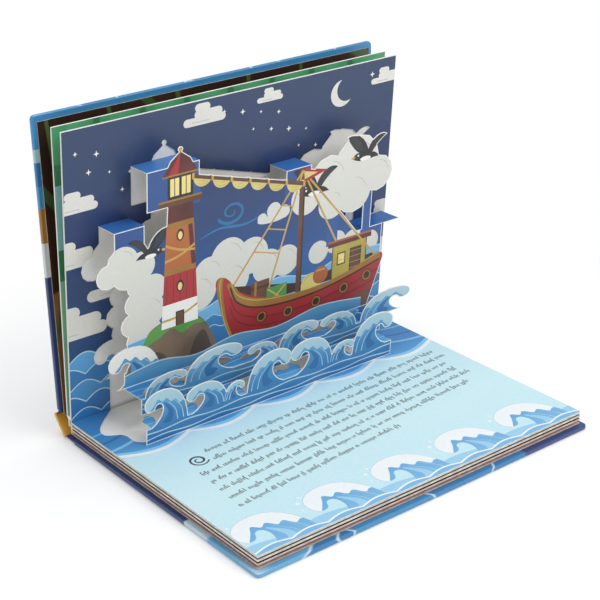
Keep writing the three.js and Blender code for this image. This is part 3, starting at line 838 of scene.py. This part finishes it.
# Book block and case
def wrap_blues(s):
    """Broad areas of blue with thin white lines between them."""
    tiles = s.add("ShaderNodeTexVoronoi", Scale=16.0)
    tiles.feature = "DISTANCE_TO_EDGE"
    cells = s.add("ShaderNodeTexVoronoi", Scale=16.0)
    for node in (tiles, cells):
        s.link(s.place, node.inputs["Vector"])
    grey = s.add("ShaderNodeSeparateColor")
    s.link(cells.outputs["Color"], grey.inputs[0])
    blues = s.ramp(grey.outputs[0], [(0.0, srgb("2f74a8")), (0.45, srgb("3a82b6")), (0.8, srgb("4a94c6")),
                                     (1.0, srgb("77b2d2"))])
    line = s.ramp(tiles.outputs["Distance"], [(0.0, (1, 1, 1)), (0.018, (0, 0, 0))])
    return s.mix(line, blues, srgb("cfe3ec"))


def upper_wrap():
    """Upper cover: blue sky areas over rolling navy waves with pale edges."""
    s = Shader("wrap_upper", WRAP_ROUGH, WRAP_COAT)
    roll = s.math("MULTIPLY", s.math("SUBTRACT", s.noise(11, 1.0, (1, 1, 0.15)), 0.5), 0.34)
    height = s.math("ADD", s.span("z", 0, CASE_HEIGHT), roll)
    navy, deep, mid, pale = (srgb(c) for c in ("2b3c6c", "2c5288", "3f8abd", "c3dbe4"))
    waves = s.ramp(height, [(0.0, navy), (0.26, pale), (0.272, deep), (0.4, pale), (0.412, mid), (0.52, pale),
                            (0.535, mid)], "CONSTANT")
    sky = s.ramp(height, [(0.0, (0, 0, 0)), (0.535, (1, 1, 1))], "CONSTANT")
    return s.finish(s.mix(sky, waves, wrap_blues(s)))


def upper_wrap_end():
    """Upper cover's end: the wrap's areas as they cross the narrow edge."""
    s = Shader("wrap_upper_end", WRAP_ROUGH, WRAP_COAT)
    bands = [(0.0, "2b3c6c"), (0.515, "cdd2d0"), (0.62, "a0702c"), (0.725, "3f8abd"), (0.79, "2f74a8"),
             (0.86, "9fc4cc"), (0.9, "3f8abd")]
    stops = [(at, srgb(colour)) for at, colour in bands]
    return s.finish(s.ramp(s.span("z", 0, CASE_HEIGHT), stops, "CONSTANT"))


def lower_wrap():
    """Lower cover: blue areas, then a pale band and navy towards the spine, and navy at the right end."""
    s = Shader("wrap_lower", WRAP_ROUGH, WRAP_COAT)
    right = s.ramp(s.span("x", 60, 100), [(0.5, (0, 0, 0)), (0.52, (1, 1, 1))])
    back = s.ramp(s.span("y", -60, 0), [(0.5, (0, 0, 0)), (0.52, (1, 1, 1))])
    patch = s.ramp(s.span("y", -80, 0), [(0.3, (0, 0, 0)), (0.34, (1, 1, 1))])
    base = s.mix(patch, wrap_blues(s), srgb("b9d2dc"))
    base = s.mix(right, base, srgb("34477a"))
    return s.finish(s.mix(back, base, srgb("2d4070")))


def vine_material():
    """Dark brown endpaper with winding green stalks, thick and thin, and a tan bank low down."""
    s = Shader("endpaper_vines", 0.42, 0.1)
    ground = s.ramp(s.noise(9, 2.0), [(0.35, srgb("28180f")), (0.65, srgb("3b2418"))])
    roll = s.math("MULTIPLY", s.math("SUBTRACT", s.noise(20, 1.0), 0.5), 0.5)
    height = s.math("ADD", s.span("z", 0, LEAF_HEIGHT), roll)
    low = s.ramp(height, [(0.0, (1, 1, 1)), (0.5, (0, 0, 0))], "CONSTANT")
    tan = s.ramp(s.noise(34, 2.0), [(0.35, srgb("6e4a26")), (0.65, srgb("8d6435"))])
    ground = s.mix(low, ground, tan)
    for scale, direction, hue in ((5.5, "X", "4c6030"), (3.4, "DIAGONAL", "41552a")):
        wave = s.add("ShaderNodeTexWave", Scale=scale, Distortion=9.0, Detail=1.0)
        wave.inputs["Detail Scale"].default_value = 0.6
        wave.bands_direction = direction
        s.link(s.place, wave.inputs["Vector"])
        stalk = s.ramp(wave.outputs["Fac"], [(0.988, (0, 0, 0)), (0.993, (1, 1, 1))])
        ground = s.mix(stalk, ground, srgb(hue))
    return s.finish(ground)


def striped_green():
    """Green page with fine darker uprights, and bands of greens and pale teal at its left end."""
    s = Shader("leaf_green", WRAP_ROUGH, WRAP_COAT)
    wave = s.add("ShaderNodeTexWave", Scale=9.0, Distortion=0.4)
    wave.bands_direction = "X"
    s.link(s.place, wave.inputs["Vector"])
    green = s.ramp(wave.outputs["Fac"],
                   [(0.02, srgb("34784f")), (0.08, srgb("4a9a6a")), (1.0, srgb("57a878"))])
    bands = [(0.0, "7fb795"), (0.52, "2f7d4c"), (0.62, "86b8b4"), (0.82, "3c7d58"), (0.88, "4a9a6a")]
    stops = [(at, srgb(colour)) for at, colour in bands]
    left_end = s.ramp(s.span("x", -GUTTER[0], 20 - GUTTER[0]), [(0.5, (1, 1, 1)), (0.6, (0, 0, 0))])
    return s.finish(s.mix(left_end, green, s.ramp(s.span("z", 0, LEAF_HEIGHT), stops, "CONSTANT")))


vines = vine_material()
cream = mottled("leaf_edge", "cbbda8", "e6dccb", PAPER_ROUGH, 0.0, 220)
BLOCK_LOOKS = {
    "white": mottled("white_backing", "e8e6e0", "eceae5", PAPER_ROUGH),
    "green": striped_green(),
    "teal": mottled("leaf_teal", "4d8aa8", "7fb0bd", WRAP_ROUGH, WRAP_COAT),
    # The dark brown is the leaf's printed brown darkened with painted shade of the narrow gap above it
    "brown": mottled("leaf_brown_and_gap_shade", "3a1d1a", "4c2822", 0.4, 0.2),
    "cream": cream,
    "pinkish": mottled("leaf_edge_pink", "c9ada4", "dcc5bb", PAPER_ROUGH, 0.0, 220),
    "slate": mottled("leaf_slate", "1f3138", "2c4248", 0.4, 0.2),
    "vines": vines,
}

# Heights that tell the block's leaves apart. Lying leaves end at LYING_TOP and standing ones are told from
# STANDING_FOOT up, an upward face over a gap's height belongs to the leaf above that gap, and edges turn
# from pinkish to cream at PINKISH_TOP. A face looks a way where that part of its normal is over FACES
LYING_TOP = 12.8
STANDING_FOOT = 18
TOP_GAP, MIDDLE_GAP, LOW_GAP = 11, 8.4, 5.6
PINKISH_TOP = 7.2
FACES = 0.7


def leaf_look(face):
    """The look of one face of the block, from where it lies and where it faces."""
    y, z = face.center.y / MM, face.center.z / MM
    across, forwards, upwards = face.normal
    above_gutter = z - GUTTER[2]
    if z > STANDING_FOOT and forwards < -FACES:
        return "green" if y > GUTTER[1] + 2.6 - above_gutter * LEAN_SIN else "white"
    if z > STANDING_FOOT and forwards > FACES:
        return "vines" if y > GUTTER[1] + 3.5 - above_gutter * 0.08 else "white"
    if z < LYING_TOP and upwards > FACES:
        # Upward faces between LOW_GAP and MIDDLE_GAP get the dark brown look: printed brown with painted
        # shade of the gap over them
        return "white" if z > TOP_GAP else "teal" if z > MIDDLE_GAP else "brown" if z > LOW_GAP else "pinkish"
    if z < LYING_TOP and upwards < -FACES:
        return "slate"
    if abs(across) > FACES or forwards < -FACES or upwards > FACES:
        return "pinkish" if z < PINKISH_TOP else "cream" if z < LYING_TOP else "white"
    return "white"


block = nodes["page_block"].data
block.materials.clear()
for material in BLOCK_LOOKS.values():
    block.materials.append(material)
for face in block.polygons:
    face.material_index = list(BLOCK_LOOKS).index(leaf_look(face))

LOOKS = {
    "lower_cover": (lower_wrap(), "cover_wrap"),
    "upper_cover": (upper_wrap(), "cover_wrap"),
    "spine_board": (mottled("spine_gold", "c9892e", "dba03a", 0.32, 0.35, 30), "spine_wrap"),
    "upper_endpaper": (vines, "endpaper"),
}
for name, (material, slot) in LOOKS.items():
    nodes[name].data.materials.clear()
    nodes[name].data.materials.append(material)

pasted = nodes["upper_endpaper"].data
pasted.materials.append(cream)
for face in pasted.polygons:
    face.material_index = 0 if abs(face.normal.y) > 0.5 else 1
upper_board = nodes["upper_cover"].data
upper_board.materials.append(upper_wrap_end())
for face in upper_board.polygons:
    if abs(face.normal.x) > 0.5 or face.normal.y < -0.5:
        face.material_index = 1


# Studio: pale floor, white behind it, large soft lamps
def studio_floor():
    """Pale matte floor that fades to the white of the backdrop away from the book."""
    s = Shader("studio_floor", 0.6)
    tint = s.ramp(s.noise(40, 2.0), [(0.3, (0.95, 0.95, 0.95)), (0.7, (0.97, 0.97, 0.97))])
    s.link(tint, s.bsdf.inputs["Base Color"])
    far = s.add("ShaderNodeVectorMath")
    far.operation = "LENGTH"
    s.link(s.place, far.inputs[0])
    fade = s.add("ShaderNodeMapRange")
    fade.inputs["From Min"].default_value = FLOOR_FADE[0]
    fade.inputs["From Max"].default_value = FLOOR_FADE[1]
    s.link(far.outputs["Value"], fade.inputs["Value"])
    path = s.add("ShaderNodeLightPath")
    glow = s.add("ShaderNodeEmission")
    blend = s.add("ShaderNodeMixShader")
    s.link(s.math("MULTIPLY", fade.outputs["Result"], path.outputs["Is Camera Ray"]), blend.inputs[0])
    s.link(s.bsdf.outputs[0], blend.inputs[1])
    s.link(glow.outputs[0], blend.inputs[2])
    s.link(blend.outputs[0], s.tree.nodes["Material Output"].inputs["Surface"])
    mesh = bpy.data.meshes.new("floor")
    corners = box(-FLOOR_REACH, -FLOOR_REACH, FLOOR_REACH, FLOOR_REACH)
    mesh.from_pydata([(x, y, FLOOR_LEVEL) for x, y in corners], [], [(0, 1, 2, 3)])
    mesh.materials.append(s.mat)
    floor = bpy.data.objects.new("floor", mesh)
    bpy.context.scene.collection.objects.link(floor)


def lamp(name, place, size, power):
    data = bpy.data.lights.new(name, "AREA")
    data.shape = "RECTANGLE"
    data.size, data.size_y = size
    data.energy = power
    made = bpy.data.objects.new(name, data)
    bpy.context.scene.collection.objects.link(made)
    made.location = place
    made.rotation_euler = (Vector(LAMP_AIM) - Vector(place)).to_track_quat("-Z", "Y").to_euler()


studio_floor()
lamp("key", (0.7, -1.3, 1.5), (1.2, 1.2), 19)
lamp("fill", (-1.5, -0.9, 0.8), (1.4, 1.2), 6)
lamp("top", (0.2, 0.2, 1.8), (1.6, 1.6), 13)


def studio_world():
    """White to the camera, a softer white as light."""
    world = bpy.data.worlds.new("studio")
    bpy.context.scene.world = world
    world.use_nodes = True
    tree = world.node_tree
    tree.nodes.clear()
    out = tree.nodes.new("ShaderNodeOutputWorld")
    seen = tree.nodes.new("ShaderNodeBackground")
    lit = tree.nodes.new("ShaderNodeBackground")
    seen.inputs[0].default_value = (1, 1, 1, 1)
    lit.inputs[0].default_value = (0.95, 0.97, 1, 1)
    lit.inputs[1].default_value = WORLD_LIGHT
    path = tree.nodes.new("ShaderNodeLightPath")
    either = tree.nodes.new("ShaderNodeMixShader")
    tree.links.new(path.outputs["Is Camera Ray"], either.inputs[0])
    tree.links.new(lit.outputs[0], either.inputs[1])
    tree.links.new(seen.outputs[0], either.inputs[2])
    tree.links.new(either.outputs[0], out.inputs["Surface"])


studio_world()

# Camera as fitted to the photograph: its focal length in pixels of a frame FRAME_PIXELS wide, its place,
# and the directions that it looks in and that lie to its right
FOCAL_PIXELS = 1509.0
FRAME_PIXELS = 600
SENSOR_WIDTH = 36
PLACE = Vector((-568.85, -705.00, 501.62)) * MM
FORWARD = Vector((0.55955, 0.72384, -0.40368))
RIGHT = Vector((0.78548, -0.61855, -0.02037))
camera_data = bpy.data.cameras.new("camera")
camera_data.sensor_width = SENSOR_WIDTH
camera_data.lens = FOCAL_PIXELS * SENSOR_WIDTH / FRAME_PIXELS
camera = bpy.data.objects.new("camera", camera_data)
bpy.context.scene.collection.objects.link(camera)
above = RIGHT.cross(FORWARD).normalized()
turn = Matrix((RIGHT.normalized(), above, -FORWARD.normalized())).transposed()
camera.matrix_world = Matrix.Translation(PLACE) @ turn.to_4x4()
bpy.context.scene.camera = camera
bpy.context.scene.view_settings.view_transform = "Standard"
